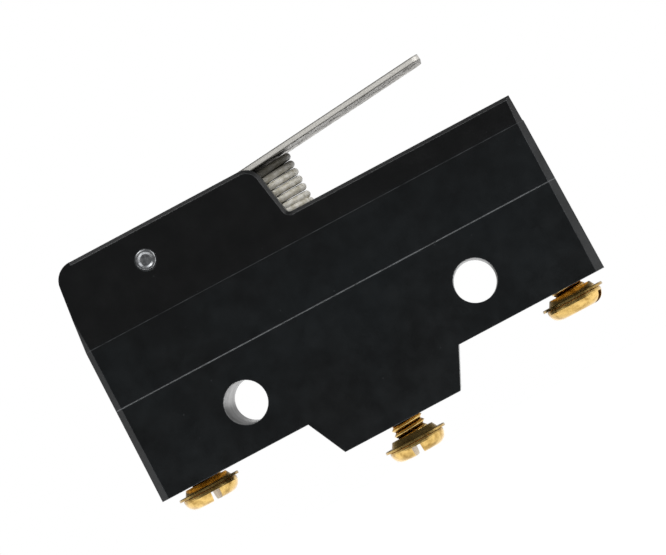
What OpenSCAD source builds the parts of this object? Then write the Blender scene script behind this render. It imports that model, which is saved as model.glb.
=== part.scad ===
// Large basic snap-action switch with a sprung hinge lever and screw terminals.
// Origin: middle of the left mounting hole, at mid depth. +X runs along the body
// towards the lever's tip, +Y runs through the mounting holes, +Z points to the lever.

/* [Housing] */
// Distance between the two mounting holes
hole_spacing = 25.4; // [24:0.1:27]
// Radius of a mounting hole
hole_r = 2.2; // [1.9:0.05:2.4]
// Depth of the body, front face to back face
body_depth = 17.45; // [16:0.05:20]
// Left hole to the left end of the body, at the base
left_overhang = 11.85; // [11:0.05:13]
// Right hole to the right end of the body, at the base
right_overhang = 11.72; // [11:0.05:13]
// Hole centre line down to the base
base_drop = 4.8; // [4.4:0.05:5.4]
// Hole centre line up to the joint between case and cover
split_z = 5.15; // [4.9:0.05:5.6]
// Hole centre line up to the crease where the cover starts to lean in
crease_z = 11.6; // [10:0.05:12.6]
// Hole centre line up to the flat deck of the cover
deck_z = 14.45; // [14.2:0.05:14.9]
// Hole centre line up to the top of the hump
hump_z = 20.3; // [19.6:0.05:21]
// Left hole to the foot of the hump's open end
hump_foot_x = 12.35; // [12:0.05:14]
// How far the hump's open end slopes back
hump_slope_run = 1.05; // [0.4:0.05:2]
// Corner radius at the closed end of the hump
hump_left_r = 2.0; // [1:0.1:2.6]
// Corner radius at the open end of the hump
hump_right_r = 1.7; // [0.8:0.1:2.2]
// Fillet between the deck and the hump
hump_foot_r = 0.5; // [0.2:0.05:0.9]
// Lean of the front and back faces above the crease, in degrees
face_lean = 3; // [1:0.5:5]
// Draft of both ends below the crease, over its height
end_draft = 0.2; // [0:0.05:0.4]
// How far the left end leans in between the crease and the hump's top
left_lean = 0.95; // [0.4:0.05:1.4]
// How far the right end leans in between the crease and the deck
right_lean = 0.15; // [0.05:0.05:0.4]
// Upright bevel at the two left corners
left_bevel = 0.75; // [0.3:0.05:1.2]
// Upright bevel at the two right corners
right_bevel = 0.9; // [0.3:0.05:1.2]
// Edge break round the hump's open end
rim_break = 0.35; // [0.15:0.05:0.5]
// Drop of the middle terminal's boss below the base
boss_drop = 4.05; // [3:0.05:5]
// Length of that boss where it leaves the base
boss_top_w = 16.65; // [15.6:0.05:18]
// Length of that boss at its foot
boss_foot_w = 12.75; // [11:0.05:14]
// Front and back walls of the contact chamber
side_wall = 2.1; // [1.8:0.05:2.6]
// End walls of the contact chamber
end_wall = 1.5; // [1.3:0.05:1.6]
// Roof over the contact chamber
roof = 2.25; // [1.8:0.05:2.4]
// Hole centre line up to the floor of the contact chamber
floor_z = 3.6; // [3.2:0.05:3.9]
// Height of the cover's locating lip
lip_h = 0.8; // [0.4:0.05:1]
// Thickness of the cover's locating lip
lip_t = 0.7; // [0.5:0.05:0.8]

/* [Lever] */
// Left hole to the lever's pivot, towards the left
pivot_back = 2.15; // [1.8:0.05:2.6]
// Hole centre line up to the lever's pivot
pivot_z = 16.95; // [16.7:0.05:17.2]
// Radius of the pivot pin
pin_r = 1.05; // [0.8:0.05:1.2]
// How far the pin's ends stand proud of the leaning faces
pin_proud = 0.06; // [0.02:0.02:0.2]
// Upward slope of the lever at rest, in degrees
lever_slope = 5.45; // [4.5:0.05:6.5]
// Thickness of the lever's sheet
lever_t = 0.6; // [0.4:0.05:0.8]
// Width of the lever
lever_w = 8.6; // [7.8:0.1:9]
// Pivot to the lever's tip, along the lever
lever_reach = 33.4; // [31:0.1:36]
// Pivot to the lever's underside, square to the lever
lever_height = 1.84; // [1.7:0.02:2.2]
// Corner radius at the lever's tip
tip_r = 1; // [0.4:0.1:2]
// Pivot to the lever's back edge
heel_x = 3.0; // [2.6:0.05:3.3]
// Radius of the ears round the pin
ear_r = 2.15; // [1.9:0.05:2.2]
// Length of the ears in front of the pivot
ear_reach = 4.4; // [3.6:0.1:4.8]

/* [Return spring] */
// Left hole to the spring's axis
spring_x = 11.5; // [11.2:0.1:12.2]
// Outer diameter of the spring
spring_od = 7; // [6.4:0.1:7.6]
// Diameter of the spring's wire
wire_d = 0.55; // [0.4:0.05:0.65]
// Number of turns
spring_turns = 6.75; // [5.5:0.25:7.5]
// Height of the seat boss inside the spring
seat_h = 0.6; // [0.3:0.05:1]

/* [Plunger] */
// Left hole to the plunger's axis
plunger_x = 4.8; // [4.6:0.05:5]
// Radius of the plunger's stem
plunger_r = 1.6; // [1.3:0.05:1.7]
// Radius of the plunger's dome
dome_r = 2.6; // [2:0.1:4]
// Radius of the collar that keeps the plunger in
collar_r = 2.6; // [2.2:0.05:3]
// Height of that collar
collar_h = 1; // [0.6:0.05:1.2]

/* [Snap action] */
// Hole centre line up to the shelf that carries the blade's root
shelf_z = 7.2; // [7:0.05:7.6]
// Thickness of the snap blade
blade_t = 0.25; // [0.15:0.05:0.3]
// Width of the snap blade
blade_w = 6.4; // [5.8:0.1:7]
// Height of the blade's crown, under the plunger, over its root
crown_rise = 1.6; // [1.4:0.05:1.7]
// Height of the blade's contact end over its root
end_rise = 1.3; // [1.1:0.05:1.4]
// Width of the blade's compressed middle tongue
tongue_w = 2.6; // [2:0.1:3]
// Slot on each side of the tongue
tongue_gap = 0.3; // [0.2:0.05:0.5]
// Rise of the tongue's bow over the blade
tongue_bow = 0.7; // [0.4:0.05:1]
// Left hole to the notch that the tongue springs from
notch_x = 9.4; // [9:0.05:9.8]
// Left hole to the contacts
contact_x = 25.2; // [24.4:0.1:26]
// Radius of the contacts
contact_r = 2; // [1.6:0.1:2.4]
// Height of a contact's head
contact_h = 0.8; // [0.5:0.05:1]
// Travel of the moving contact between its two stops
contact_gap = 0.9; // [0.6:0.05:1]

/* [Terminals] */
// Middle terminal to either end terminal
terminal_pitch = 20.5; // [20:0.1:20.8]
// Thickness of the terminal strips
strip_t = 0.8; // [0.6:0.05:1]
// Width of the terminal strips
strip_w = 7; // [6.4:0.1:8]
// Radius of the threaded inserts
insert_r = 2.9; // [2.6:0.05:3.2]
// Radius of the spigot that stakes an insert to its strip
spigot_r = 1.2; // [0.9:0.05:1.3]
// Radius of a terminal screw's thread
screw_r = 1.75; // [1.5:0.05:2]
// Length of a terminal screw under its head
screw_len = 8; // [6.5:0.1:9]
// Radius of a terminal screw's head
head_r = 2.9; // [2.5:0.05:3.2]
// Height of a terminal screw's head
head_h = 1.35; // [1.1:0.05:1.6]
// Rounding of the head's outer edge
head_round = 0.6; // [0.3:0.05:0.9]
// Width of the screwdriver slot
slot_w = 0.95; // [0.7:0.05:1.2]
// Depth of the screwdriver slot
slot_d = 0.95; // [0.6:0.05:1]
// Radius of a screw's cup washer
washer_r = 3.4; // [3.2:0.05:3.8]
// Thickness of the washer's rim
washer_t = 0.5; // [0.3:0.05:0.7]
// Height of the washer's raised cup
cup_h = 0.35; // [0.2:0.05:0.5]
// How far the common terminal's screw is backed out
common_out = 0.15; // [0.1:0.05:2]
// How far the middle terminal's screw is backed out
open_out = 1.55; // [0.1:0.05:2]
// How far the right terminal's screw is backed out
closed_out = 0.5; // [0.1:0.05:2]

/* [Clearances] */
// Radial clearance of a pin or stem that runs in its bore
run_fit = 0.05; // [0.02:0.01:0.09]
// Gap between faces that rest on one another
touch = 0.03; // [0.02:0.01:0.06]
// Clearance round pieces that drop into a seat
seat_fit = 0.1; // [0.05:0.05:0.2]

/* [Hidden] */
$fn = 48;

phenolic = [0.07, 0.075, 0.085];
brass = [0.80, 0.62, 0.28];
steel = [0.72, 0.72, 0.72];
silver = [0.86, 0.86, 0.84];
bronze = [0.72, 0.48, 0.28];
over = 1; // overlap used when one shape cuts another

// Body
half_depth = body_depth / 2;
left_x = -left_overhang;
right_x = hole_spacing + right_overhang;
base_z = -base_drop;
boss_x = hole_spacing / 2;
boss_z = base_z - boss_drop;
crease_share = (split_z - base_z) / (crease_z - base_z);
room_left = left_x + end_wall;
room_right = right_x - end_wall;
room_half = half_depth - side_wall;
room_top = deck_z - roof;
slot_half = lever_w / 2 + 0.3;
pivot_x = -pivot_back;
slot_left = pivot_x - norm([heel_x, lever_height + lever_t]) - 0.3;

// Lever: heights of its underside, and the heel that rests on the deck
function lever_under(x) = pivot_z + lever_height / cos(lever_slope)
    + (x - pivot_x) * tan(lever_slope);
heel_z = -(pivot_z - deck_z - touch - heel_x * sin(lever_slope)) / cos(lever_slope);
ear_t = lever_t;

// Snap action: middle heights of the blade
root_z = shelf_z + blade_t / 2;
crown_z = root_z + crown_rise;
end_z = root_z + end_rise;
blade_left = room_left + 0.5;
shelf_right = plunger_x - 9.3;
blade_right = contact_x + contact_r + 0.8;
window_left = notch_x - 1;
window_right = contact_x - 5;
shelf_left = room_left + 0.2;
rivet_x = (blade_left + shelf_right) / 2;
rivet_r = 1;
clamp_t = 0.6;
rivet_head = 0.7;
shank_r = 0.9;

// Terminals
common_x = boss_x - terminal_pitch;
closed_x = boss_x + terminal_pitch;
strip_top = floor_z + strip_t;
open_shelf_top = end_z - blade_t / 2 - contact_h - contact_gap - 2 * touch - contact_h;
closed_shelf_base = end_z + blade_t / 2 + contact_h + touch + contact_h;
closed_wall_x = room_right - 0.2;
insert_cap = 0.6;
anchor_w = 2.4;

// Points of an arc about [cx, cz], from angle a0 to a1
function arc(cx, cz, r, a0, a1, steps = 10) =
    [for (i = [0:steps]) let (a = a0 + (a1 - a0) * i / steps) [cx + r * cos(a), cz + r * sin(a)]];

// A side outline drawn in X and Z, extruded to a width about the middle plane
module side(points, width) {
    rotate([90, 0, 0])
        linear_extrude(height = width, center = true)
            polygon(points);
}

// A box given by its corners in X and Z and its width in Y
module slab(x0, x1, z0, z1, width) {
    translate([x0, -width / 2, z0])
        cube([x1 - x0, width, z1 - z0]);
}

// A cylinder along Y through the whole body
module cross_hole(x, z, r) {
    translate([x, 0, z])
        rotate([90, 0, 0])
            cylinder(r = r, h = 2 * body_depth, center = true);
}

module post(x, z0, z1, r) {
    translate([x, 0, z0])
        cylinder(r = r, h = z1 - z0);
}

// Left end of the body at height z, drafted below the crease and leaning above it
function left_end(z) = z < crease_z
    ? left_x + end_draft * (z - base_z) / (crease_z - base_z)
    : left_x + end_draft + left_lean * (z - crease_z) / (hump_z - crease_z);
function right_end(z) = z < crease_z
    ? right_x - end_draft * (z - base_z) / (crease_z - base_z)
    : right_x - end_draft - right_lean * (0.5 + 0.5 * (z - crease_z) / (deck_z - crease_z));

// Outline of the whole body from the front
lean_a = atan(left_lean / (hump_z - crease_z));
slope_a = atan(hump_slope_run / (hump_z - deck_z));
hump_left_c = [left_end(hump_z) + hump_left_r * tan(45 - lean_a / 2), hump_z - hump_left_r];
hump_right_x = hump_foot_x - hump_slope_run;
hump_right_c = [hump_right_x - hump_right_r * tan(45 - slope_a / 2), hump_z - hump_right_r];
foot_c = [hump_foot_x + hump_foot_r * tan(45 - slope_a / 2), deck_z + hump_foot_r];
slope_n = [cos(slope_a), sin(slope_a)];
slope_length = norm(hump_right_c + hump_right_r * slope_n - foot_c + hump_foot_r * slope_n);
function body_outline() = concat(
    [[left_x, base_z], [boss_x - boss_top_w / 2, base_z], [boss_x - boss_foot_w / 2, boss_z],
        [boss_x + boss_foot_w / 2, boss_z], [boss_x + boss_top_w / 2, base_z], [right_x, base_z],
        [right_end(crease_z - 0.01), crease_z], [right_end(crease_z), crease_z + 0.1],
        [right_end(deck_z), deck_z]],
    arc(foot_c[0], foot_c[1], hump_foot_r, 270, 180 + slope_a, 6),
    arc(hump_right_c[0], hump_right_c[1], hump_right_r, slope_a, 90),
    arc(hump_left_c[0], hump_left_c[1], hump_left_r, 90, 180 - lean_a),
    [[left_end(crease_z), crease_z]]);

// The body's outer form: its front outline, its leaning faces and its bevelled corners
module body_form() {
    lean = (hump_z + over - crease_z) * tan(face_lean);
    intersection() {
        side(body_outline(), body_depth);
        rotate([90, 0, 90])
            translate([0, 0, left_x - over])
                linear_extrude(height = right_x - left_x + 2 * over)
                    polygon([[-half_depth, boss_z - over], [half_depth, boss_z - over],
                        [half_depth, crease_z], [half_depth - lean, hump_z + over],
                        [lean - half_depth, hump_z + over], [-half_depth, crease_z]]);
        translate([0, 0, boss_z - over])
            linear_extrude(height = hump_z - boss_z + 2 * over)
                polygon([[left_x, left_bevel - half_depth], [left_x + left_bevel, -half_depth],
                    [right_x - right_bevel, -half_depth], [right_x, right_bevel - half_depth],
                    [right_x, half_depth - right_bevel], [right_x - right_bevel, half_depth],
                    [left_x + left_bevel, half_depth], [left_x, half_depth - left_bevel]]);
    }
}

// The contact chamber, between two heights and with its walls moved out by grow
module chamber(z0, z1, grow = 0) {
    slab(room_left - grow, room_right + grow, z0, z1, 2 * (room_half + grow));
}

module case() {
    color(phenolic)
        difference() {
            intersection() {
                body_form();
                slab(left_x - over, right_x + over, boss_z - over, split_z, 2 * body_depth);
            }
            chamber(floor_z, split_z + over);
            chamber(split_z - lip_h - seat_fit, split_z + over, lip_t + seat_fit);
            cross_hole(0, 0, hole_r);
            cross_hole(hole_spacing, 0, hole_r);
            insert_seat(common_x, base_z);
            insert_seat(boss_x, boss_z);
            insert_seat(closed_x, base_z);
        }
}

// Room for a moulded-in insert
module insert_seat(x, z) {
    post(x, z - over, floor_z + over, insert_r + touch);
}

// Cover: roof, locating lip, and the hump whose slot holds the lever, spring and plunger
module cover() {
    color(phenolic)
        difference() {
            union() {
                intersection() {
                    body_form();
                    slab(left_x - over, right_x + over, split_z, hump_z + over, 2 * body_depth);
                }
                chamber(split_z - lip_h, split_z + over, lip_t);
            }
            chamber(split_z - lip_h - over, room_top);
            difference() {
                slab(slot_left, right_x, deck_z, hump_z + over, 2 * slot_half);
                post(spring_x, deck_z - over, deck_z + seat_h, spring_od / 2 - wire_d - 0.3);
            }
            upper_rim(-1);
            upper_rim(1);
            cross_hole(pivot_x, pivot_z, pin_r + touch);
            post(plunger_x, room_top - over, deck_z + over, plunger_r + run_fit);
        }
}

// The broken edge between one side face and the hump and deck, drawn in the plane of that face
module upper_rim(way) {
    translate([0, way * half_depth, crease_z])
        rotate([way * face_lean, 0, 0])
            translate([0, 0, -crease_z]) {
                rim_line(hump_left_c[0], hump_right_c[0], hump_z);
                rim_line(foot_c[0], right_x + over, deck_z);
                rim_turn(hump_right_c, hump_right_r, slope_a, 90);
                rim_turn(foot_c, hump_foot_r, 180 + slope_a, 270);
                translate([hump_right_c[0], 0, hump_right_c[1]])
                    rotate([0, 90 - slope_a, 0])
                        rim_line(0, slope_length, hump_right_r);
            }
}

// Square bar on its corner, which leaves a bevel where it runs along an edge
module rim_line(x0, x1, z) {
    translate([(x0 + x1) / 2, 0, z])
        rotate([45, 0, 0])
            cube([x1 - x0, rim_break * sqrt(2), rim_break * sqrt(2)], center = true);
}

// The same bar bent round an arc
module rim_turn(centre, r, a0, a1) {
    translate([centre[0], 0, centre[1]])
        rotate([90, 0, 0])
            rotate([0, 0, a0])
                rotate_extrude(angle = a1 - a0)
                    polygon([[r - rim_break, 0], [r, -rim_break], [r + rim_break, 0],
                        [r, rim_break]]);
}

// Lever: a flat stainless strip with two ears folded down onto the pin
module lever() {
    color(steel)
        translate([pivot_x, 0, pivot_z])
            rotate([0, -lever_slope, 0])
                difference() {
                    union() {
                        lever_plate();
                        ear(-1);
                        ear(1);
                        spring_nib();
                    }
                    rotate([90, 0, 0])
                        cylinder(r = pin_r + run_fit, h = 2 * lever_w, center = true);
                }
}

module lever_plate() {
    reach = lever_reach - tip_r;
    half = lever_w / 2 - tip_r;
    translate([0, 0, lever_height])
        linear_extrude(height = lever_t)
            polygon(concat([[-heel_x, -lever_w / 2]], arc(reach, -half, tip_r, -90, 0, 6),
                arc(reach, half, tip_r, 0, 90, 6), [[-heel_x, lever_w / 2]]));
}

// One folded ear; its back lower corner is the heel that stops the lever on the deck
module ear(way) {
    translate([0, way * (lever_w - ear_t) / 2, 0])
        side(concat([[-heel_x, lever_height + lever_t / 2], [-heel_x, heel_z],
            [-heel_x * 0.55, heel_z + 0.05]], arc(0, 0, ear_r, 250, 330, 8),
            [[ear_reach, lever_height - 0.4], [ear_reach, lever_height + lever_t / 2]]), ear_t);
}

// Round nib pressed down from the strip, which keeps the spring in place
module spring_nib() {
    reach = (spring_x - pivot_x) / cos(lever_slope) + lever_height * sin(lever_slope);
    translate([reach, 0, lever_height - seat_h])
        cylinder(r = spring_od / 2 - wire_d - 0.6, h = seat_h + lever_t / 2);
}

module pivot_pin() {
    face = half_depth - (pivot_z - crease_z) * tan(face_lean) + pin_proud;
    dish = 0.12;
    color(steel)
        translate([pivot_x, 0, pivot_z])
            rotate([90, 0, 0])
                rotate_extrude()
                    polygon([[0, -face + dish], [pin_r * 0.55, -face + dish],
                        [pin_r * 0.75, -face], [pin_r - 0.1, -face], [pin_r, 0.1 - face],
                        [pin_r, face - 0.1], [pin_r - 0.1, face], [pin_r * 0.75, face],
                        [pin_r * 0.55, face - dish], [0, face - dish]]);
}

// Middle line of the spring's wire: its ends close up, and its top follows the lever's slope
spring_r = (spring_od - wire_d) / 2;
function eased(s) = s < 0 ? 0 : s > 1 ? 1 : s;
function spring_share(turn) = let (rest = 0.4)
    eased((turn - rest) / (spring_turns - 2 * rest));
function wire_centre(turn) =
    let (a = 360 * turn - 90, x = spring_x + spring_r * cos(a),
        low = deck_z + wire_d / 2 + touch, high = lever_under(x) - wire_d / 2 - touch)
    [x, spring_r * sin(a), low + (high - low) * spring_share(turn)];

// Coil spring, swept ring by ring along the wire's middle line
module return_spring() {
    sides = 8;
    steps = floor(spring_turns * 20);
    rings = [for (i = [0:steps]) let (turn = spring_turns * i / steps, a = 360 * turn - 90,
        c = wire_centre(turn)) [for (j = [0:sides - 1]) let (b = 360 * j / sides)
            c + wire_d / 2 * [cos(b) * cos(a), cos(b) * sin(a), sin(b)]]];
    points = [for (ring = rings) for (p = ring) p];
    last = steps * sides;
    walls = [for (i = [0:steps - 1]) for (j = [0:sides - 1])
        let (k = (j + 1) % sides, a = i * sides, b = a + sides)
        each [[a + j, a + k, b + k], [a + j, b + k, b + j]]];
    caps = [[for (j = [sides - 1:-1:0]) j], [for (j = [0:sides - 1]) last + j]];
    color(steel)
        polyhedron(points = points, faces = concat(walls, caps), convexity = 10);
}

// Plunger: domed stem that the lever presses, with a collar under the roof
module plunger() {
    top = lever_under(plunger_x) - touch - 0.02;
    foot = crown_z + blade_t / 2 + touch;
    collar_top = room_top - seat_fit;
    edge = sqrt(dome_r * dome_r - plunger_r * plunger_r);
    color("firebrick")
        translate([plunger_x, 0, 0])
            rotate_extrude()
                polygon(concat([[0, foot], [plunger_r - 0.4, foot], [plunger_r, foot + 0.4],
                    [plunger_r, collar_top - collar_h], [collar_r, collar_top - collar_h],
                    [collar_r, collar_top], [plunger_r, collar_top]],
                    arc(0, top - dome_r, dome_r, acos(plunger_r / dome_r), 90, 8)));
}

// Snap blade: rises from its root to the crown, falls to the contact, with a bowed tongue in its window
module snap_blade() {
    color(bronze)
        difference() {
            union() {
                difference() {
                    ribbon([[blade_left, root_z], [shelf_right + 0.3, root_z],
                        [plunger_x - plunger_r, crown_z], [plunger_x + plunger_r, crown_z],
                        [blade_right - 2 * contact_r - 1.6, end_z], [blade_right, end_z]],
                        blade_w, blade_t);
                    slab(window_left, window_right, root_z - 3, crown_z + 3,
                        tongue_w + 2 * tongue_gap);
                }
                ribbon(tongue_line(), tongue_w, blade_t);
            }
            post(rivet_x, root_z - over, root_z + over, rivet_r + touch);
            post(contact_x, end_z - over, end_z + over, shank_r + touch);
        }
}

// Middle line of the tongue: from the window's right edge, over its bow, down to the notch
function tongue_line() =
    let (start = window_right + 0.3, run = start - notch_x - 0.35,
        from = blade_mid(start), fall = from - root_z)
    [for (i = [0:12]) let (s = i / 12)
        [start - run * s, from - fall * s * s + 4 * tongue_bow * s * (1 - s)]];

// Height of the blade's middle between its crown and its contact end
function blade_mid(x) =
    let (x0 = plunger_x + plunger_r, x1 = blade_right - 2 * contact_r - 1.6)
    crown_z + (end_z - crown_z) * eased((x - x0) / (x1 - x0));

// Sheet of even thickness along a line of points in X and Z
module ribbon(line, width, t) {
    n = len(line);
    function dir(i) = let (a = line[max(i - 1, 0)], b = line[min(i + 1, n - 1)])
        (b - a) / norm(b - a);
    upper = [for (i = [0:n - 1]) line[i] + t / 2 * [-dir(i)[1], dir(i)[0]]];
    lower = [for (i = [n - 1:-1:0]) line[i] - t / 2 * [-dir(i)[1], dir(i)[0]]];
    side(concat(upper, lower), width);
}

// Plate that clamps the blade's root to its shelf
module blade_clamp() {
    base = shelf_z + blade_t;
    color(brass)
        difference() {
            slab(blade_left, shelf_right, base, base + clamp_t, blade_w);
            post(rivet_x, base - over, base + clamp_t + over, rivet_r + touch);
        }
}

module blade_rivet() {
    top = shelf_z + blade_t + clamp_t;
    foot = shelf_z - strip_t;
    color(brass)
        union() {
            post(rivet_x, foot - rivet_head / 2, top + rivet_head / 2, rivet_r);
            post(rivet_x, top, top + rivet_head, rivet_r * 1.8);
            post(rivet_x, foot - rivet_head, foot, rivet_r * 1.8);
        }
}

// Upright lug whose notch takes the tongue's tip
module tongue_anchor() {
    top = root_z + 0.7;
    back = notch_x - 1.6;
    color(brass)
        side([[back - 1, strip_top], [notch_x - 0.2, strip_top], [notch_x - 0.2, root_z - 0.9],
            [notch_x + 0.6, root_z - 0.9], [notch_x, root_z - 0.15], [notch_x, root_z + 0.15],
            [notch_x + 0.35, top], [back + 0.5, top], [back + 0.5, strip_top + 0.8],
            [back - 1, strip_top + 0.8]], anchor_w);
}

// Double-faced silver contact riveted through the blade's end
module moving_contact() {
    color(silver)
        union() {
            post(contact_x, end_z - blade_t, end_z + blade_t, shank_r);
            button(contact_x, end_z + blade_t / 2, 1);
            button(contact_x, end_z - blade_t / 2, -1);
        }
}

// Domed contact head standing on z, pointing up (1) or down (-1)
module button(x, z, way) {
    translate([x, 0, z])
        scale_up(way)
            rotate_extrude()
                polygon([[0, 0], [contact_r, 0], [contact_r, contact_h * 0.6],
                    [contact_r * 0.85, contact_h * 0.9], [contact_r * 0.5, contact_h],
                    [0, contact_h]]);
}

module scale_up(way) {
    if (way > 0) children();
    else mirror([0, 0, 1]) children();
}

// Common terminal: strip on the floor, folded up and back over itself as the blade's shelf
module common_strip() {
    color(brass)
        difference() {
            side([[shelf_left, floor_z], [notch_x - 0.6, floor_z], [notch_x - 0.6, strip_top],
                [shelf_left + strip_t, strip_top], [shelf_left + strip_t, shelf_z - strip_t],
                [shelf_right, shelf_z - strip_t], [shelf_right, shelf_z], [shelf_left, shelf_z]],
                strip_w);
            strip_hole(common_x);
            post(rivet_x, shelf_z - strip_t - over / 2, shelf_z + over, rivet_r + touch);
        }
}

// Normally open terminal: strip on the floor, stepped up to its contact
module open_strip() {
    step_x = contact_x - contact_r - 4;
    color(brass)
        difference() {
            side([[boss_x - 3.2, floor_z], [step_x + strip_t, floor_z],
                [step_x + strip_t, open_shelf_top - strip_t],
                [blade_right, open_shelf_top - strip_t], [blade_right, open_shelf_top],
                [step_x, open_shelf_top], [step_x, strip_top], [boss_x - 3.2, strip_top]],
                strip_w);
            strip_hole(boss_x);
            post(contact_x, open_shelf_top - strip_t - over / 4, open_shelf_top + over,
                shank_r + touch);
        }
}

// Normally closed terminal: strip folded up the end wall and back over the blade's end
module closed_strip() {
    color(brass)
        difference() {
            side([[closed_x - 3.6, floor_z], [closed_wall_x, floor_z],
                [closed_wall_x, closed_shelf_base + strip_t],
                [contact_x - contact_r - 0.6, closed_shelf_base + strip_t],
                [contact_x - contact_r - 0.6, closed_shelf_base],
                [closed_wall_x - strip_t, closed_shelf_base],
                [closed_wall_x - strip_t, strip_top], [closed_x - 3.6, strip_top]], strip_w);
            strip_hole(closed_x);
            post(contact_x, closed_shelf_base - over, closed_shelf_base + strip_t + over,
                shank_r + touch);
        }
}

// Hole in a floor strip for its insert's spigot
module strip_hole(x) {
    post(x, floor_z - over, strip_top + over, spigot_r + touch);
}

// Fixed contact riveted into its strip
module open_contact() {
    color(silver)
        union() {
            button(contact_x, open_shelf_top, 1);
            post(contact_x, open_shelf_top - strip_t, open_shelf_top + contact_h / 2, shank_r);
        }
}

module closed_contact() {
    color(silver)
        union() {
            button(contact_x, closed_shelf_base, -1);
            post(contact_x, closed_shelf_base - contact_h / 2, closed_shelf_base + strip_t,
                shank_r);
        }
}

// Threaded brass insert moulded into the case, its spigot staked into the strip
module insert(x, foot) {
    color(brass)
        difference() {
            union() {
                post(x, foot, floor_z, insert_r);
                post(x, foot, strip_top, spigot_r);
            }
            post(x, foot - over, floor_z - insert_cap, screw_r + run_fit);
        }
}

module common_insert() insert(common_x, base_z);
module open_insert() insert(boss_x, boss_z);
module closed_insert() insert(closed_x, base_z);

// Cup washer under a screw's head; top is the height of its raised cup
module washer(x, top) {
    rim = top - cup_h;
    bore = screw_r + 0.1;
    color(brass)
        translate([x, 0, 0])
            rotate_extrude()
                polygon([[bore, rim - washer_t], [washer_r, rim - washer_t], [washer_r, rim],
                    [washer_r * 0.8, rim], [washer_r * 0.72, top], [bore, top]]);
}

function common_top() = base_z - common_out;
function open_top() = boss_z - open_out;
function closed_top() = base_z - closed_out;

module common_washer() washer(common_x, common_top());
module open_washer() washer(boss_x, open_top());
module closed_washer() washer(closed_x, closed_top());

// Binding-head terminal screw whose washer's cup starts at height top; turn sets its slot
module screw(x, top, turn) {
    seat = top - cup_h - washer_t - touch;
    foot = seat - head_h;
    tip = 0.5;
    color(brass)
        translate([x, 0, 0])
            rotate([0, 0, turn])
                difference() {
                    rotate_extrude()
                        polygon(concat([[0, foot]],
                            arc(head_r - head_round, foot + head_round, head_round, 270, 360, 6),
                            [[head_r, seat], [screw_r, seat], [screw_r, seat + screw_len - tip],
                                [screw_r - tip, seat + screw_len], [0, seat + screw_len]]));
                    translate([-slot_w / 2, -head_r - over, foot - over])
                        cube([slot_w, 2 * (head_r + over), slot_d + over]);
                }
}

module common_screw() screw(common_x, common_top(), 12);
module open_screw() screw(boss_x, open_top(), -4);
module closed_screw() screw(closed_x, closed_top(), 68);

case();
cover();
lever();
pivot_pin();
return_spring();
plunger();
snap_blade();
blade_clamp();
blade_rivet();
tongue_anchor();
moving_contact();
common_strip();
open_strip();
closed_strip();
open_contact();
closed_contact();
common_insert();
open_insert();
closed_insert();
common_washer();
open_washer();
closed_washer();
common_screw();
open_screw();
closed_screw();
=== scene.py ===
"""Lever micro switch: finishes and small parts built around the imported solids. Metres, +Z up."""
import math

import bmesh
import bpy
from mathutils import Matrix, Vector


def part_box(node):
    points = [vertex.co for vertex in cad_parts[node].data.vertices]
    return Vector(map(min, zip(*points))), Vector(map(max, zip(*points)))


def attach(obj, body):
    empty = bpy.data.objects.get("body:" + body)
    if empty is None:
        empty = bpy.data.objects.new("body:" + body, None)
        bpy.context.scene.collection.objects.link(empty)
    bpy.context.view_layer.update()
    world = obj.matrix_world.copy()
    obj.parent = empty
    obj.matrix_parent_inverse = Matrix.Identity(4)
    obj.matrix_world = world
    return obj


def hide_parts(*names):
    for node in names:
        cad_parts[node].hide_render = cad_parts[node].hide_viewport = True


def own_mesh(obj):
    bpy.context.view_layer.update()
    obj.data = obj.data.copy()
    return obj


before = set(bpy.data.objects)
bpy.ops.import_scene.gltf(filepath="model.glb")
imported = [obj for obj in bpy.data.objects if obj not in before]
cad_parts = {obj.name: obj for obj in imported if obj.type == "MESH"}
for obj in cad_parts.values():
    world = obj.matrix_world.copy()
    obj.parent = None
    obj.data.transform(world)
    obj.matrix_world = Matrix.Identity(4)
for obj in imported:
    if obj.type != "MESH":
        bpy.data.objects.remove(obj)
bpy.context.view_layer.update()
MM = 0.001

# --- Camera and room ---------------------------------------------------------------------
# A long lens nearly square to the front face, tipped so that the body climbs to the right.
# The camera and glass see a white room, gloss sees it with three dimmer walls, and its plain
# light on the object is weaker, with three lamps added.


def linear(code):
    """sRGB hex to a linear RGBA colour."""
    parts = [int(code[i:i + 2], 16) / 255 for i in (1, 3, 5)]
    return tuple(c / 12.92 if c <= 0.04045 else ((c + 0.055) / 1.055) ** 2.4
                 for c in parts) + (1.0,)


def put(tree, kind, inputs=None, **settings):
    """Adds a node with its settings; a socket given as a value is linked."""
    node = tree.nodes.new(kind)
    for name, value in settings.items():
        setattr(node, name, value)
    for name, value in (inputs or {}).items():
        if isinstance(value, bpy.types.NodeSocket):
            tree.links.new(value, node.inputs[name])
        else:
            node.inputs[name].default_value = value
    return node


lens_mm, sensor_mm = 200.9, 36
yaw, pitch, roll = (math.radians(a) for a in (-1.693, 1.463, -28.013))
aim = Vector((math.sin(yaw) * math.cos(pitch), math.cos(yaw) * math.cos(pitch), math.sin(pitch)))
level = aim.cross(Vector((0, 0, 1))).normalized()
upright = level.cross(aim)
right = level * math.cos(roll) + upright * math.sin(roll)
top = upright * math.cos(roll) - level * math.sin(roll)
camera_data = bpy.data.cameras.new("camera")
camera_data.lens, camera_data.sensor_width = lens_mm, sensor_mm
camera_data.clip_start, camera_data.clip_end = 0.01, 20
camera = bpy.data.objects.new("camera", camera_data)
bpy.context.collection.objects.link(camera)
camera.matrix_world = Matrix.Translation((0.024, -0.3717, -0.0025)) @ Matrix(
    (right, top, -aim)).transposed().to_4x4()
scene = bpy.context.scene
scene.camera = camera
scene.view_settings.view_transform = "Standard"

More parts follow.
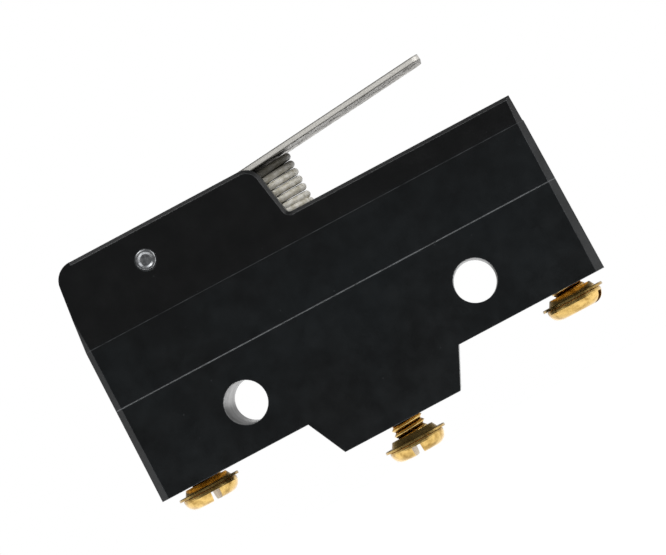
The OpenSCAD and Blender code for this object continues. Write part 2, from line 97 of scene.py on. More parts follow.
world = bpy.data.worlds.new("white room")
scene.world = world
world.use_nodes = True
tree = world.node_tree
tree.nodes.clear()
path = put(tree, "ShaderNodeLightPath")
way = put(tree, "ShaderNodeTexCoord").outputs["Generated"]
way_parts = put(tree, "ShaderNodeSeparateXYZ", {0: way})
# gloss sees a dark wall in front of the switch, a dim ceiling and a dim rear wall
front_wall = put(tree, "ShaderNodeMapRange", {"Value": way_parts.outputs["Y"], "From Min": -0.25,
                 "From Max": 0.45, "To Min": 0.155, "To Max": 1.0})
ceiling = put(tree, "ShaderNodeMapRange", {"Value": way_parts.outputs["Z"], "From Min": 0.25,
              "From Max": 0.85, "To Min": 1.0, "To Max": 0.3})
rear_wall = put(tree, "ShaderNodeMapRange", {"Value": way_parts.outputs["Y"], "From Min": 0.85,
                "From Max": 0.99, "To Min": 1.0, "To Max": 0.5})
wall = put(tree, "ShaderNodeMath", {0: front_wall.outputs["Result"],
           1: ceiling.outputs["Result"]}, operation="MULTIPLY")
wall = put(tree, "ShaderNodeMath", {0: wall.outputs[0], 1: rear_wall.outputs["Result"]},
           operation="MULTIPLY")
straight = put(tree, "ShaderNodeMath", {0: path.outputs["Is Camera Ray"],
               1: path.outputs["Is Transmission Ray"]}, operation="MAXIMUM")
glossy = put(tree, "ShaderNodeMix", {"Factor": path.outputs["Is Glossy Ray"], "A": 0.45,
             "B": wall.outputs[0]})
strength = put(tree, "ShaderNodeMix", {"Factor": straight.outputs[0],
               "A": glossy.outputs["Result"], "B": 1.0})
room = put(tree, "ShaderNodeBackground", {"Color": linear("#FFFFFF"),
           "Strength": strength.outputs["Result"]})
put(tree, "ShaderNodeOutputWorld", {"Surface": room.outputs[0]})

lamp_target = Vector((0.0127, 0, 0.005))
for lamp_name, spot, size, watts in (
        ("top lamp", (-0.10, -0.16, 0.42), 0.34, 1.1),
        ("right lamp", (0.40, -0.18, 0.16), 0.22, 0.6),
        ("rear lamp", (0.05, 0.40, 0.30), 0.30, 0.9)):
    lamp_data = bpy.data.lights.new(lamp_name, "AREA")
    lamp_data.energy, lamp_data.size = watts, size
    lamp = bpy.data.objects.new(lamp_name, lamp_data)
    bpy.context.collection.objects.link(lamp)
    lamp.matrix_world = Matrix.Translation(spot) @ (
        Vector(spot) - lamp_target).to_track_quat("Z", "Y").to_matrix().to_4x4()

# White paper under the switch, ending close in front so that the front face doesn't mirror
# it. It glows a little where it is seen.
floor_z, floor_side, floor_front, floor_back = -0.030, 0.5, -0.07, 0.6
floor_mesh = bpy.data.meshes.new("floor")
floor_mesh.from_pydata([(x, y, floor_z) for x, y in (
    (-floor_side, floor_front), (floor_side, floor_front), (floor_side, floor_back),
    (-floor_side, floor_back))], [], [(0, 1, 2, 3)])
floor = bpy.data.objects.new("floor", floor_mesh)
bpy.context.collection.objects.link(floor)
paper = bpy.data.materials.new("white paper")
paper.use_nodes = True
tree = paper.node_tree
tree.nodes.clear()
path = put(tree, "ShaderNodeLightPath")
seen = put(tree, "ShaderNodeMath", {0: path.outputs["Is Camera Ray"],
           1: path.outputs["Is Transmission Ray"]}, operation="MAXIMUM")
seen = put(tree, "ShaderNodeMath", {0: seen.outputs[0], 1: path.outputs["Is Glossy Ray"]},
           operation="MAXIMUM")
sheet = put(tree, "ShaderNodeBsdfDiffuse", {"Color": linear("#E8E8E8")})
glow = put(tree, "ShaderNodeEmission", {"Color": linear("#FFFFFF"), "Strength": 0.68})
lit = put(tree, "ShaderNodeAddShader", {0: sheet.outputs[0], 1: glow.outputs[0]})
chosen = put(tree, "ShaderNodeMixShader", {0: seen.outputs[0], 1: sheet.outputs[0],
             2: lit.outputs[0]})
# seen from under the table, the paper isn't there
below = put(tree, "ShaderNodeNewGeometry").outputs["Backfacing"]
one_sided = put(tree, "ShaderNodeMixShader", {0: below, 1: chosen.outputs[0],
                2: put(tree, "ShaderNodeBsdfTransparent").outputs[0]})
put(tree, "ShaderNodeOutputMaterial", {"Surface": one_sided.outputs[0]})
floor_mesh.materials.append(paper)

# --- Housing: case and cover -------------------------------------------------------------
# Two mouldings of black phenolic, compression moulded in polished steel and tumbled, so
# the faces are satin, faintly mottled by the filler, and the edges get a thin painted highlight.


def new_material(name):
    """An empty node material, its tree, and its object coordinates in millimetres."""
    material = bpy.data.materials.new(name)
    material.use_nodes = True
    material.node_tree.nodes.clear()
    place = put(material.node_tree, "ShaderNodeTexCoord").outputs["Object"]
    grid = put(material.node_tree, "ShaderNodeVectorMath", {0: place, "Scale": 1 / MM},
               operation="SCALE")
    return material, material.node_tree, grid.outputs[0]


def two_tones(tree, factor, low, low_code, high, high_code):
    """The colour of a ramp between two tones, set at a low and a high factor."""
    ramp = put(tree, "ShaderNodeValToRGB", {"Fac": factor})
    for stop, position, code in zip(ramp.color_ramp.elements, (low, high),
                                    (low_code, high_code)):
        stop.position, stop.color = position, linear(code)
    return ramp.outputs["Color"]


def finish_with(node_name, material):
    """Gives a solid of the frame its finish."""
    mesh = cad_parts[node_name].data
    mesh.materials.clear()
    mesh.materials.append(material)


phenolic, tree, grid = new_material("black phenolic, compression moulded")
# filler mottle about 2 mm across, flow marks about 9 mm, grain 0.2 mm, dust 0.1 mm
mottle = put(tree, "ShaderNodeTexNoise", {"Vector": grid, "Scale": 0.5, "Detail": 4.0,
             "Roughness": 0.62})
flow = put(tree, "ShaderNodeTexNoise", {"Vector": grid, "Scale": 0.09, "Detail": 2.0})
grain = put(tree, "ShaderNodeTexNoise", {"Vector": grid, "Scale": 5.0, "Detail": 2.0})
specks = put(tree, "ShaderNodeTexVoronoi", {"Vector": grid, "Scale": 0.45})
dust = put(tree, "ShaderNodeMapRange", {"Value": specks.outputs["Distance"],
           "From Min": 0.02, "From Max": 0.05, "To Min": 0.5, "To Max": 0.0})
height = put(tree, "ShaderNodeSeparateXYZ", {0: grid}).outputs["Z"]
cloud = put(tree, "ShaderNodeMix", {"Factor": 0.6, "A": mottle.outputs["Fac"],
            "B": flow.outputs["Fac"]})
body_colour = two_tones(tree, cloud.outputs["Result"], 0.40, "#05080A", 0.62, "#0B1114")
# painted shade: the faces above the crease are darkened to a deeper black, for their lean away
# from the light
crease_shade = put(tree, "ShaderNodeMapRange", {"Value": height, "From Min": 11.2, "From Max": 12.0,
            "To Min": 0.0, "To Max": 0.9})
shaded = put(tree, "ShaderNodeMix", {"Factor": crease_shade.outputs["Result"],
             "A": body_colour, "B": linear("#040506")}, data_type="RGBA")
# painted highlights: a thin pale line where the mouldings meet and a fainter one along
# the crease, standing in for light on their rounded edges, broken up by noise
highlight_break = put(tree, "ShaderNodeTexNoise", {"Vector": grid, "Scale": 0.7, "Detail": 5.0,
           "Roughness": 0.7})
highlight_share = put(tree, "ShaderNodeMapRange", {"Value": highlight_break.outputs["Fac"], "From Min": 0.36,
                 "From Max": 0.6, "To Min": 0.25, "To Max": 1.0})
# pale dust specks, then the painted highlight lines on top
dust_and_highlights = put(tree, "ShaderNodeMix", {"Factor": dust.outputs["Result"],
             "A": shaded.outputs["Result"], "B": linear("#3E4144")}, data_type="RGBA")
for line_z, half_width, highlight_code, amount in ((5.15, 0.09, "#84878A", 0.75),
                                          (11.6, 0.06, "#5B5E61", 0.55)):
    off = put(tree, "ShaderNodeMath", {0: height, 1: -line_z}, operation="ADD")
    off = put(tree, "ShaderNodeMath", {0: off.outputs[0]}, operation="ABSOLUTE")
    highlight_band = put(tree, "ShaderNodeMapRange", {"Value": off.outputs[0], "From Min": 0.0,
               "From Max": half_width, "To Min": amount, "To Max": 0.0})
    highlight_band = put(tree, "ShaderNodeMath", {0: highlight_band.outputs["Result"],
               1: highlight_share.outputs["Result"]}, operation="MULTIPLY")
    dust_and_highlights = put(tree, "ShaderNodeMix", {"Factor": highlight_band.outputs[0],
                 "A": dust_and_highlights.outputs["Result"], "B": linear(highlight_code)}, data_type="RGBA")
# painted highlight: sharp edges are painted pale, standing in for light on their rounding
edge = put(tree, "ShaderNodeBevel", {"Radius": 0.11 * MM}, samples=6)
facing = put(tree, "ShaderNodeNewGeometry").outputs["Normal"]
turned = put(tree, "ShaderNodeVectorMath", {0: edge.outputs[0], 1: facing},
             operation="DOT_PRODUCT")
edge_highlight = put(tree, "ShaderNodeMapRange", {"Value": turned.outputs["Value"], "From Min": 0.9,
          "From Max": 0.995, "To Min": 0.7, "To Max": 0.0})
edge_highlight = put(tree, "ShaderNodeMath", {0: edge_highlight.outputs["Result"], 1: highlight_share.outputs["Result"]},
          operation="MULTIPLY")
edge_highlighted = put(tree, "ShaderNodeMix", {"Factor": edge_highlight.outputs[0], "A": dust_and_highlights.outputs["Result"],
             "B": linear("#6C6F72")}, data_type="RGBA")
sheen_map = put(tree, "ShaderNodeMapRange", {"Value": mottle.outputs["Fac"],
                "From Min": 0.3, "From Max": 0.7, "To Min": 0.28, "To Max": 0.4})
relief = put(tree, "ShaderNodeMix", {"Factor": 0.35, "A": mottle.outputs["Fac"],
             "B": grain.outputs["Fac"]})
bump = put(tree, "ShaderNodeBump", {"Height": relief.outputs["Result"], "Strength": 0.1,
           "Distance": 0.05 * MM, "Normal": edge.outputs[0]})
skin = put(tree, "ShaderNodeBsdfPrincipled", {"Base Color": edge_highlighted.outputs["Result"],
           "Roughness": sheen_map.outputs["Result"], "IOR": 1.5, "Normal": bump.outputs[0]})
put(tree, "ShaderNodeOutputMaterial", {"Surface": skin.outputs[0]})
for node_name in ("case", "cover"):
    finish_with(node_name, phenolic)

# --- Lever -------------------------------------------------------------------------------
# Stainless strip, cold rolled and blanked, its ears folded down; the mill grain runs along
# it, with dull stains from handling. The sheared edges carry a painted highlight.
stainless, tree, grid = new_material("stainless strip, mill finish")
# grain drawn 0.2 mm apart, coarser than the real one so that it shows, 4 mm long
along = put(tree, "ShaderNodeMapping", {"Vector": grid, "Scale": (0.25, 5.0, 5.0)})
lines = put(tree, "ShaderNodeTexNoise", {"Vector": along.outputs[0], "Scale": 1.0,
            "Detail": 3.0})
blotch = put(tree, "ShaderNodeTexNoise", {"Vector": grid, "Scale": 0.9, "Detail": 5.0,
             "Roughness": 0.7})
tone = put(tree, "ShaderNodeMix", {"Factor": 0.55, "A": lines.outputs["Fac"],
           "B": blotch.outputs["Fac"]})
steel_colour = two_tones(tree, tone.outputs["Result"], 0.36, "#8E8A84", 0.60, "#D2CFC9")
rough = put(tree, "ShaderNodeMapRange", {"Value": tone.outputs["Result"], "From Min": 0.35,
            "From Max": 0.65, "To Min": 0.42, "To Max": 0.24})
# painted highlight: faces turned to the front and back are painted near white for light on the
# sheared edges, between two lines of painted shade
facing = put(tree, "ShaderNodeNewGeometry").outputs["Normal"]
side_on = put(tree, "ShaderNodeMath", {0: put(tree, "ShaderNodeSeparateXYZ",
              {0: facing}).outputs["Y"]}, operation="ABSOLUTE")
lit_edges = put(tree, "ShaderNodeMix", {"Factor": side_on.outputs[0],
                "A": steel_colour, "B": linear("#F4F1EA")},
                data_type="RGBA")
# painted shade: dark lines where the edges round off, along both arrises
edge = put(tree, "ShaderNodeBevel", {"Radius": 0.16 * MM}, samples=6)
turned = put(tree, "ShaderNodeVectorMath", {0: edge.outputs[0], 1: facing},
             operation="DOT_PRODUCT")
arris_shade = put(tree, "ShaderNodeMapRange", {"Value": turned.outputs["Value"], "From Min": 0.75,
           "From Max": 0.97, "To Min": 0.95, "To Max": 0.0})
edges_lit_and_shaded = put(tree, "ShaderNodeMix", {"Factor": arris_shade.outputs["Result"],
              "A": lit_edges.outputs["Result"], "B": linear("#3A3833")}, data_type="RGBA")
# the painted-shade lines run unbroken along both arrises of the strip, which is 0.6 mm thick and
# has its underside 1.84 mm from the hinge
lever_lean = math.radians(5.45)
strip_mid_mm = 1.84 + 0.6 / 2
hinge_x_mm, hinge_z_mm = -2.15, 16.95
across = put(tree, "ShaderNodeVectorMath", {0: grid, 1: (-math.sin(lever_lean), 0,
             math.cos(lever_lean))}, operation="DOT_PRODUCT")
middle = strip_mid_mm - hinge_x_mm * math.sin(lever_lean) + hinge_z_mm * math.cos(lever_lean)
off_mid = put(tree, "ShaderNodeMath", {0: across.outputs["Value"], 1: -middle},
              operation="ADD")
off_mid = put(tree, "ShaderNodeMath", {0: off_mid.outputs[0]}, operation="ABSOLUTE")
arris_shade_band = put(tree, "ShaderNodeMapRange", {"Value": off_mid.outputs[0], "From Min": 0.15,
            "From Max": 0.27, "To Min": 0.0, "To Max": 0.9})
arris_shade_band = put(tree, "ShaderNodeMath", {0: arris_shade_band.outputs["Result"], 1: side_on.outputs[0]},
            operation="MULTIPLY")
edges_lit_and_shaded = put(tree, "ShaderNodeMix", {"Factor": arris_shade_band.outputs[0],
              "A": edges_lit_and_shaded.outputs["Result"], "B": linear("#3A3833")}, data_type="RGBA")
bump = put(tree, "ShaderNodeBump", {"Height": lines.outputs["Fac"], "Strength": 0.1,
           "Distance": 0.02 * MM})
# dull stains, mostly on the underside, each a millimetre or two across
downward = put(tree, "ShaderNodeMapRange", {
    "Value": put(tree, "ShaderNodeSeparateXYZ", {0: facing}).outputs["Z"],
    "From Min": -0.9, "From Max": -0.4, "To Min": 1.0, "To Max": 0.15})
stain = put(tree, "ShaderNodeMapRange", {"Value": blotch.outputs["Fac"], "From Min": 0.5,
            "From Max": 0.6, "To Min": 0.3, "To Max": 0.85})
stain = put(tree, "ShaderNodeMath", {0: stain.outputs["Result"],
            1: downward.outputs["Result"]}, operation="MULTIPLY")
stained = put(tree, "ShaderNodeMix", {"Factor": stain.outputs[0],
              "A": edges_lit_and_shaded.outputs["Result"], "B": linear("#8A867E")}, data_type="RGBA")
# the stains and the painted-highlight edge faces are made less metallic
metal = put(tree, "ShaderNodeMath", {0: stain.outputs[0], 1: side_on.outputs[0]},
            operation="MAXIMUM")
metal = put(tree, "ShaderNodeMapRange", {"Value": metal.outputs[0], "To Min": 0.9,
            "To Max": 0.2})
rough = put(tree, "ShaderNodeMix", {"Factor": stain.outputs[0],
            "A": rough.outputs["Result"], "B": 0.8})
skin = put(tree, "ShaderNodeBsdfPrincipled", {"Base Color": stained.outputs["Result"],
           "Metallic": metal.outputs["Result"], "Roughness": rough.outputs["Result"],
           "Anisotropic": 0.4, "Normal": bump.outputs[0]})
put(tree, "ShaderNodeOutputMaterial", {"Surface": skin.outputs[0]})
finish_with("lever", stainless)

# --- Pivot pin ---------------------------------------------------------------------------
# Steel pin pressed through the cover, its ends dished by the tool and left a little dull.
pin_steel, tree, grid = new_material("pivot steel, turned")
swirl = put(tree, "ShaderNodeTexNoise", {"Vector": grid, "Scale": 2.4, "Detail": 4.0})
pin_colour = two_tones(tree, swirl.outputs["Fac"], 0.38, "#8F9194", 0.62, "#C4C6C8")
bump = put(tree, "ShaderNodeBump", {"Height": swirl.outputs["Fac"], "Strength": 0.3,
           "Distance": 0.04 * MM})
skin = put(tree, "ShaderNodeBsdfPrincipled", {"Base Color": pin_colour,
           "Metallic": 1.0, "Roughness": 0.38, "Normal": bump.outputs[0]})
put(tree, "ShaderNodeOutputMaterial", {"Surface": skin.outputs[0]})
finish_with("pivot_pin", pin_steel)

# --- Return spring -----------------------------------------------------------------------
# Compression spring of plated wire, coiled cold, between the deck and the lever. Its ends
# close up and its top leans as the lever does at rest. The coil tree also makes the threads.
coil_tree = bpy.data.node_groups.new("coil", "GeometryNodeTree")
coil_inputs = (("Centre X", 0.0), ("Radius", 0.003), ("Wire radius", 0.0003), ("Turns", 6.0),
               ("Closed turns", 0.0), ("Foot height", 0.0), ("Top height", 0.01),
               ("Top slope", 0.0), ("Start angle", 0.0))
for input_name, value in coil_inputs:
    socket = coil_tree.interface.new_socket(input_name, in_out="INPUT",
                                            socket_type="NodeSocketFloat")
    socket.default_value = value
for input_name, value in (("Points a turn", 40), ("Sides", 12)):
    socket = coil_tree.interface.new_socket(input_name, in_out="INPUT",
                                            socket_type="NodeSocketInt")
    socket.default_value = value
coil_tree.interface.new_socket("Material", in_out="INPUT", socket_type="NodeSocketMaterial")
coil_tree.interface.new_socket("Geometry", in_out="OUTPUT", socket_type="NodeSocketGeometry")
tree = coil_tree
given = put(tree, "NodeGroupInput").outputs
steps = put(tree, "ShaderNodeMath", {0: given["Turns"], 1: given["Points a turn"]},
            operation="MULTIPLY")
line = put(tree, "GeometryNodeCurvePrimitiveLine", {"End": (0, 0, 1)})
points = put(tree, "GeometryNodeResampleCurve", {"Curve": line.outputs[0],
             "Count": steps.outputs[0]})
share = put(tree, "GeometryNodeSplineParameter").outputs["Factor"]
turn = put(tree, "ShaderNodeMath", {0: share, 1: given["Turns"]}, operation="MULTIPLY")
angle = put(tree, "ShaderNodeMath", {0: turn.outputs[0], 1: 2 * math.pi,
            2: given["Start angle"]}, operation="MULTIPLY_ADD")
cosine = put(tree, "ShaderNodeMath", {0: angle.outputs[0]}, operation="COSINE")
sine = put(tree, "ShaderNodeMath", {0: angle.outputs[0]}, operation="SINE")
reach = put(tree, "ShaderNodeMath", {0: cosine.outputs[0], 1: given["Radius"]},
            operation="MULTIPLY")
x_at = put(tree, "ShaderNodeMath", {0: reach.outputs[0], 1: given["Centre X"]}, operation="ADD")
y_at = put(tree, "ShaderNodeMath", {0: sine.outputs[0], 1: given["Radius"]},
           operation="MULTIPLY")
top_at = put(tree, "ShaderNodeMath", {0: reach.outputs[0], 1: given["Top slope"],
             2: given["Top height"]}, operation="MULTIPLY_ADD")
last = put(tree, "ShaderNodeMath", {0: given["Turns"], 1: given["Closed turns"]},
           operation="SUBTRACT")
rise = put(tree, "ShaderNodeMapRange", {"Value": turn.outputs[0],
           "From Min": given["Closed turns"], "From Max": last.outputs[0],
           "To Min": given["Foot height"], "To Max": top_at.outputs[0]})
spot = put(tree, "ShaderNodeCombineXYZ", {"X": x_at.outputs[0], "Y": y_at.outputs[0],
           "Z": rise.outputs["Result"]})
placed = put(tree, "GeometryNodeSetPosition", {"Geometry": points.outputs[0],
             "Position": spot.outputs[0]})
upright_wire = put(tree, "GeometryNodeSetCurveNormal", {"Curve": placed.outputs[0]},
                   mode="Z_UP")
section = put(tree, "GeometryNodeCurvePrimitiveCircle", {"Resolution": given["Sides"],
              "Radius": given["Wire radius"]})
wire = put(tree, "GeometryNodeCurveToMesh", {"Curve": upright_wire.outputs[0],
           "Profile Curve": section.outputs[0], "Fill Caps": True})
real = put(tree, "GeometryNodeRealizeInstances", {0: wire.outputs[0]})
coated = put(tree, "GeometryNodeSetMaterial", {"Geometry": real.outputs[0],
             "Material": given["Material"]})
put(tree, "NodeGroupOutput", {"Geometry": coated.outputs[0]})


def coil(name, sizes):
    """Runs the coil tree on an empty mesh and returns the result as a plain object."""
    holder = bpy.data.objects.new(name, bpy.data.meshes.new(name))
    bpy.context.collection.objects.link(holder)
    modifier = holder.modifiers.new("coil", "NODES")
    modifier.node_group = coil_tree
    for item in coil_tree.interface.items_tree:
        if item.in_out == "INPUT" and item.name in sizes:
            modifier[item.identifier] = sizes[item.name]
    found = holder.evaluated_get(bpy.context.evaluated_depsgraph_get())
    mesh = bpy.data.meshes.new_from_object(found)
    holder.modifiers.remove(modifier)
    holder.data = mesh
    mesh.name = name
    return holder


wire_steel, tree, grid = new_material("spring wire, zinc plated")
streak = put(tree, "ShaderNodeTexNoise", {"Vector": grid, "Scale": 1.6, "Detail": 3.0})
wire_colour = two_tones(tree, streak.outputs["Fac"], 0.36, "#CFC9B6", 0.62, "#FBF8EE")
# painted shade inside the coils: dark where the wire faces the spring's axis, and darker
# towards the top, for the lever's shadow
low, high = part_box("return_spring")
spring_x = (low[0] + high[0]) / 2
from_axis = put(tree, "ShaderNodeVectorMath", {0: grid, 1: (-spring_x / MM, 0, 0)},
                operation="ADD")
from_axis = put(tree, "ShaderNodeVectorMath", {0: from_axis.outputs[0], 1: (1, 1, 0)},
                operation="MULTIPLY")
from_axis = put(tree, "ShaderNodeVectorMath", {0: from_axis.outputs[0]}, operation="NORMALIZE")
outward = put(tree, "ShaderNodeVectorMath", {0: from_axis.outputs[0],
              1: put(tree, "ShaderNodeNewGeometry").outputs["Normal"]}, operation="DOT_PRODUCT")
coil_shade = put(tree, "ShaderNodeMapRange", {"Value": outward.outputs["Value"], "From Min": 0.35,
          "From Max": 0.6, "To Min": 1.0, "To Max": 0.0})
# painted shadow: the top coils under the lever are darkened
under_lever = put(tree, "ShaderNodeMapRange", {
    "Value": put(tree, "ShaderNodeSeparateXYZ", {0: grid}).outputs["Z"], "From Min": 18.2,
    "From Max": 19.2, "To Min": 0.0, "To Max": 0.85})
coil_shade = put(tree, "ShaderNodeMath", {0: coil_shade.outputs["Result"],
          1: under_lever.outputs["Result"]}, operation="MAXIMUM")
shaded_wire = put(tree, "ShaderNodeMix", {"Factor": coil_shade.outputs[0],
            "A": wire_colour, "B": linear("#2B2718")}, data_type="RGBA")
skin = put(tree, "ShaderNodeBsdfPrincipled", {"Base Color": shaded_wire.outputs["Result"],
           "Metallic": 0.05, "Roughness": 0.42})
put(tree, "ShaderNodeOutputMaterial", {"Surface": skin.outputs[0]})

wire_r = 0.395 * MM
spring_r = (high[1] - low[1]) / 2 - wire_r
spring = coil("spring_wire", {
    "Centre X": spring_x, "Radius": spring_r, "Wire radius": wire_r,
    "Turns": 6.75, "Closed turns": 0.4, "Foot height": low[2] + wire_r,
    "Top height": high[2] - wire_r - spring_r * math.tan(lever_lean),
    "Top slope": math.tan(lever_lean), "Start angle": -math.pi / 2, "Points a turn": 48,
    "Sides": 14, "Material": wire_steel})
spring.data.shade_smooth()
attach(spring, "housing")
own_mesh(spring)
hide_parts("return_spring")

# --- Plunger -----------------------------------------------------------------------------
# Dark red phenolic stem, moulded and polished by its guide, with a faint filler mottle.
red_phenolic, tree, grid = new_material("red phenolic, moulded")
mottle = put(tree, "ShaderNodeTexNoise", {"Vector": grid, "Scale": 0.9, "Detail": 4.0})
red_colour = two_tones(tree, mottle.outputs["Fac"], 0.38, "#5E1812", 0.62, "#84251B")
skin = put(tree, "ShaderNodeBsdfPrincipled", {"Base Color": red_colour,
           "Roughness": 0.36, "IOR": 1.5})
put(tree, "ShaderNodeOutputMaterial", {"Surface": skin.outputs[0]})
finish_with("plunger", red_phenolic)

# --- Snap blade --------------------------------------------------------------------------
# One leaf of rolled beryllium copper with a bowed tongue in its window, clamped at its
# root. It is the solid's own shape.


same_spot = 1e-7


def copy_of(node_name, name):
    """A merged copy of a solid's mesh, as a new object."""
    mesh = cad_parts[node_name].data.copy()
    mesh.name = name
    work = bmesh.new()
    work.from_mesh(mesh)
    bmesh.ops.remove_doubles(work, verts=work.verts, dist=same_spot)
    work.to_mesh(mesh)
    work.free()
    copy = bpy.data.objects.new(name, mesh)
    bpy.context.collection.objects.link(copy)
    return copy


bronze, tree, grid = new_material("beryllium copper, rolled")
along = put(tree, "ShaderNodeMapping", {"Vector": grid, "Scale": (0.3, 9.0, 9.0)})
lines = put(tree, "ShaderNodeTexNoise", {"Vector": along.outputs[0], "Scale": 1.0})
bronze_colour = two_tones(tree, lines.outputs["Fac"], 0.36, "#A9713F", 0.62, "#D29A66")
skin = put(tree, "ShaderNodeBsdfPrincipled", {"Base Color": bronze_colour,
           "Metallic": 1.0, "Roughness": 0.32})
put(tree, "ShaderNodeOutputMaterial", {"Surface": skin.outputs[0]})
blade = copy_of("snap_blade", "blade_leaf")
blade.data.materials.clear()
blade.data.materials.append(bronze)
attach(blade, "housing")
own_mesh(blade)
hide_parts("snap_blade")

# --- Contacts ----------------------------------------------------------------------------
# Silver rivets, coined, one through the blade and one in each fixed strip, lightly
# tarnished in patches.
silver, tree, grid = new_material("contact silver, coined")
tarnish = put(tree, "ShaderNodeTexNoise", {"Vector": grid, "Scale": 1.4, "Detail": 4.0})
silver_colour = two_tones(tree, tarnish.outputs["Fac"], 0.36, "#B9B4A8", 0.60, "#EDEBE6")
skin = put(tree, "ShaderNodeBsdfPrincipled", {"Base Color": silver_colour,
           "Metallic": 1.0, "Roughness": 0.28})
put(tree, "ShaderNodeOutputMaterial", {"Surface": skin.outputs[0]})
for node_name in ("moving_contact", "open_contact", "closed_contact"):
    finish_with(node_name, silver)

# --- Terminal strips, clamp, rivet, anchor and inserts -------------------------------------
# Brass strip, blanked and folded, and turned brass inserts moulded into the case. Rolling
# leaves fine lines along the strip, and air leaves brown patches.
brass_strip, tree, grid = new_material("brass, rolled and turned")
along = put(tree, "ShaderNodeMapping", {"Vector": grid, "Scale": (0.4, 7.0, 7.0)})
lines = put(tree, "ShaderNodeTexNoise", {"Vector": along.outputs[0], "Scale": 1.0})
patch = put(tree, "ShaderNodeTexNoise", {"Vector": grid, "Scale": 0.6, "Detail": 4.0})
tone = put(tree, "ShaderNodeMix", {"Factor": 0.6, "A": lines.outputs["Fac"],
           "B": patch.outputs["Fac"]})
strip_colour = two_tones(tree, tone.outputs["Result"], 0.36, "#9A7434", 0.60, "#D3AC5A")
skin = put(tree, "ShaderNodeBsdfPrincipled", {"Base Color": strip_colour,
           "Metallic": 1.0, "Roughness": 0.36})
put(tree, "ShaderNodeOutputMaterial", {"Surface": skin.outputs[0]})
for node_name in ("common_strip", "open_strip", "closed_strip", "blade_clamp", "blade_rivet",
                  "tongue_anchor", "common_insert", "open_insert", "closed_insert"):
    finish_with(node_name, brass_strip)

# --- Terminal screws and washers ---------------------------------------------------------
# Binding-head screws of brass, 3.5 mm thread, headed, slotted and rolled, over pressed cup
# washers. Bright, with browner smears about 1 mm across and faint handling marks.
screw_brass, tree, grid = new_material("brass, bright plated")
# smears about 1 mm across, handling marks 0.25 mm
smear = put(tree, "ShaderNodeTexNoise", {"Vector": grid, "Scale": 1.1, "Detail": 5.0,
            "Roughness": 0.65})
marks = put(tree, "ShaderNodeTexNoise", {"Vector": grid, "Scale": 4.0, "Detail": 3.0})
brass_colour = two_tones(tree, smear.outputs["Fac"], 0.34, "#9A7A40", 0.58, "#D2B16C")
rough = put(tree, "ShaderNodeMapRange", {"Value": marks.outputs["Fac"], "From Min": 0.3,
            "From Max": 0.7, "To Min": 0.18, "To Max": 0.27})
bump = put(tree, "ShaderNodeBump", {"Height": smear.outputs["Fac"], "Strength": 0.12,
           "Distance": 0.03 * MM})
skin = put(tree, "ShaderNodeBsdfPrincipled", {"Base Color": brass_colour, "Metallic": 1.0,
           "Roughness": rough.outputs["Result"], "Normal": bump.outputs[0]})
put(tree, "ShaderNodeOutputMaterial", {"Surface": skin.outputs[0]})

# all in millimetres
head_r, head_h, head_side_h, crown_w = 2.95, 1.35, 0.22, 1.15
lip_h, lip_w, edge_break = 0.06, 0.08, 0.07
slot_w, slot_d, cutter_l, cutter_overrun = 0.95, 0.95, 8, 1.0
pitch_mm, thread_r, thread_depth = 0.6, 1.75, 0.32
head_lap, plain_h, run_out, point_h, point_w = 0.1, 0.35, 0.75, 0.5, 0.35
washer_r, washer_t, washer_play, rim_break = 3.3, 0.28, 0.1, 0.06
# where the cup's wall starts and ends, as shares of the washer's radius
cup_top, cup_foot, cup_under = 0.68, 0.78, 0.8
edge_angle = math.radians(40)
sides = 64


def turned_shape(work, centre_x, outline):
    """Adds a closed turned shape to a bmesh; outline is (radius, height) pairs in metres."""
    loops = []
    for r, z in outline:
        if r == 0:
            loops.append([work.verts.new((centre_x, 0, z))])
        else:
            loops.append([work.verts.new((centre_x + r * math.cos(2 * math.pi * i / sides),
                                          r * math.sin(2 * math.pi * i / sides), z))
                          for i in range(sides)])
    for near, far in zip(loops, loops[1:]):
        for i in range(sides):
            k = (i + 1) % sides
            ring = [near[i % len(near)], near[k % len(near)], far[k % len(far)],
                    far[i % len(far)]]
            corners = [v for n, v in enumerate(ring) if v not in ring[:n]]
            if len(corners) > 2:
                work.faces.new(corners)
    bmesh.ops.recalc_face_normals(work, faces=work.faces)


def shown(name, work, material):
    """Puts a bmesh into the scene as an object with one material."""
    mesh = bpy.data.meshes.new(name)
    work.to_mesh(mesh)
    work.free()
    mesh.materials.append(material)
    piece = bpy.data.objects.new(name, mesh)
    bpy.context.collection.objects.link(piece)
    return piece


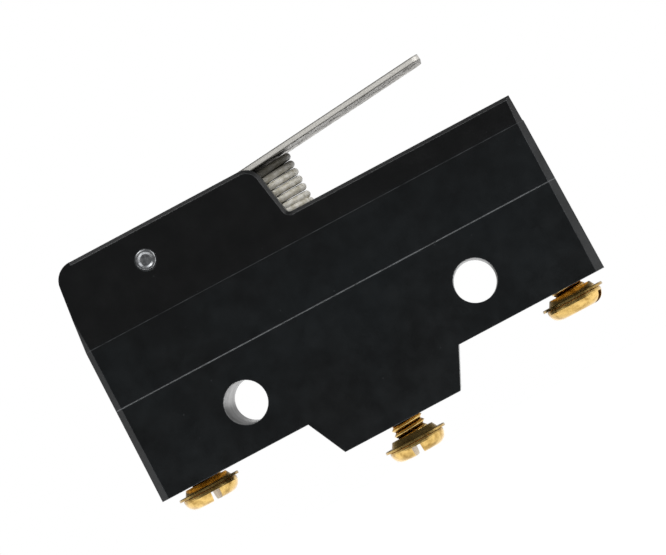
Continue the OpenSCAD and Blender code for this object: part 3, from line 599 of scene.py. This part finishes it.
for side, turn in (("common", 12), ("open", -4), ("closed", 68)):
    low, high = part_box(side + "_screw")
    centre_x = (low[0] + high[0]) / 2
    foot, tip = low[2] / MM, high[2] / MM
    seat = foot + head_h
    # head: domed, its edge rolled over, cut by the slot
    dome = [(0, foot)] + [(head_r - crown_w * (1 - math.sin(math.radians(a))),
                           seat - head_side_h
                           - (head_h - head_side_h) * math.cos(math.radians(a)))
                          for a in range(0, 91, 9)]
    work = bmesh.new()
    turned_shape(work, centre_x, [(r * MM, z * MM) for r, z in
                 dome + [(head_r, seat - lip_h), (head_r - lip_w, seat), (0, seat)]])
    head = shown(side + "_screw_threaded", work, screw_brass)
    work = bmesh.new()
    bmesh.ops.create_cube(work, size=1.0)
    slot_z = (foot + slot_d / 2 - cutter_overrun / 2) * MM
    place = (Matrix.Translation((centre_x, 0, slot_z))
             @ Matrix.Rotation(math.radians(turn), 4, "Z")
             @ Matrix.Diagonal((slot_w * MM, cutter_l * MM, (slot_d + cutter_overrun) * MM, 1)))
    bmesh.ops.transform(work, matrix=place, verts=work.verts)
    cutter = shown(side + "_cutter", work, screw_brass)
    cut = head.modifiers.new("slot", "BOOLEAN")
    cut.operation, cut.object, cut.solver = "DIFFERENCE", cutter, "EXACT"
    soften = head.modifiers.new("broken edges", "BEVEL")
    soften.width, soften.segments, soften.limit_method = edge_break * MM, 2, "ANGLE"
    soften.angle_limit = edge_angle
    whole = bpy.data.meshes.new_from_object(
        head.evaluated_get(bpy.context.evaluated_depsgraph_get()))
    head.modifiers.clear()
    head.data = whole
    bpy.data.objects.remove(cutter)
    # shank: a core with a chamfered tip, and the ridge rolled round it
    core_r = thread_r - thread_depth
    work = bmesh.new()
    work.from_mesh(whole)
    shank = bmesh.new()
    turned_shape(shank, centre_x, [(r * MM, z * MM) for r, z in (
        (0, seat - head_lap), (core_r, seat - head_lap), (core_r, tip - point_h),
        (core_r - point_w, tip), (0, tip))])
    core = bpy.data.meshes.new(side + "_core")
    shank.to_mesh(core)
    shank.free()
    work.from_mesh(core)
    first, end = seat + plain_h, tip - run_out
    ridge = coil(side + "_thread", {
        "Centre X": centre_x, "Radius": core_r * MM, "Wire radius": thread_depth * MM,
        "Turns": (end - first) / pitch_mm, "Foot height": first * MM, "Top height": end * MM,
        "Points a turn": 36, "Sides": 4, "Material": screw_brass})
    work.from_mesh(ridge.data)
    bpy.data.objects.remove(ridge)
    work.to_mesh(head.data)
    work.free()
    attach(head, side + "_screw")
    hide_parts(side + "_screw")

    # cup washer: a thin rim against the head, pressed up into a cup round the shank
    washer_low, washer_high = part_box(side + "_washer")
    rim, cup = washer_low[2] / MM, washer_high[2] / MM
    bore = thread_r + washer_play
    work = bmesh.new()
    turned_shape(work, centre_x, [(r * MM, z * MM) for r, z in (
        (bore, cup), (washer_r * cup_top, cup), (washer_r * cup_foot, rim + washer_t),
        (washer_r - rim_break, rim + washer_t), (washer_r, rim + washer_t - rim_break),
        (washer_r, rim), (washer_r * cup_under, rim), (bore, cup - washer_t), (bore, cup))])
    bmesh.ops.remove_doubles(work, verts=work.verts, dist=same_spot)
    bmesh.ops.recalc_face_normals(work, faces=work.faces)
    washer = shown(side + "_washer_pressed", work, screw_brass)
    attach(washer, side + "_washer")
    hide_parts(side + "_washer")
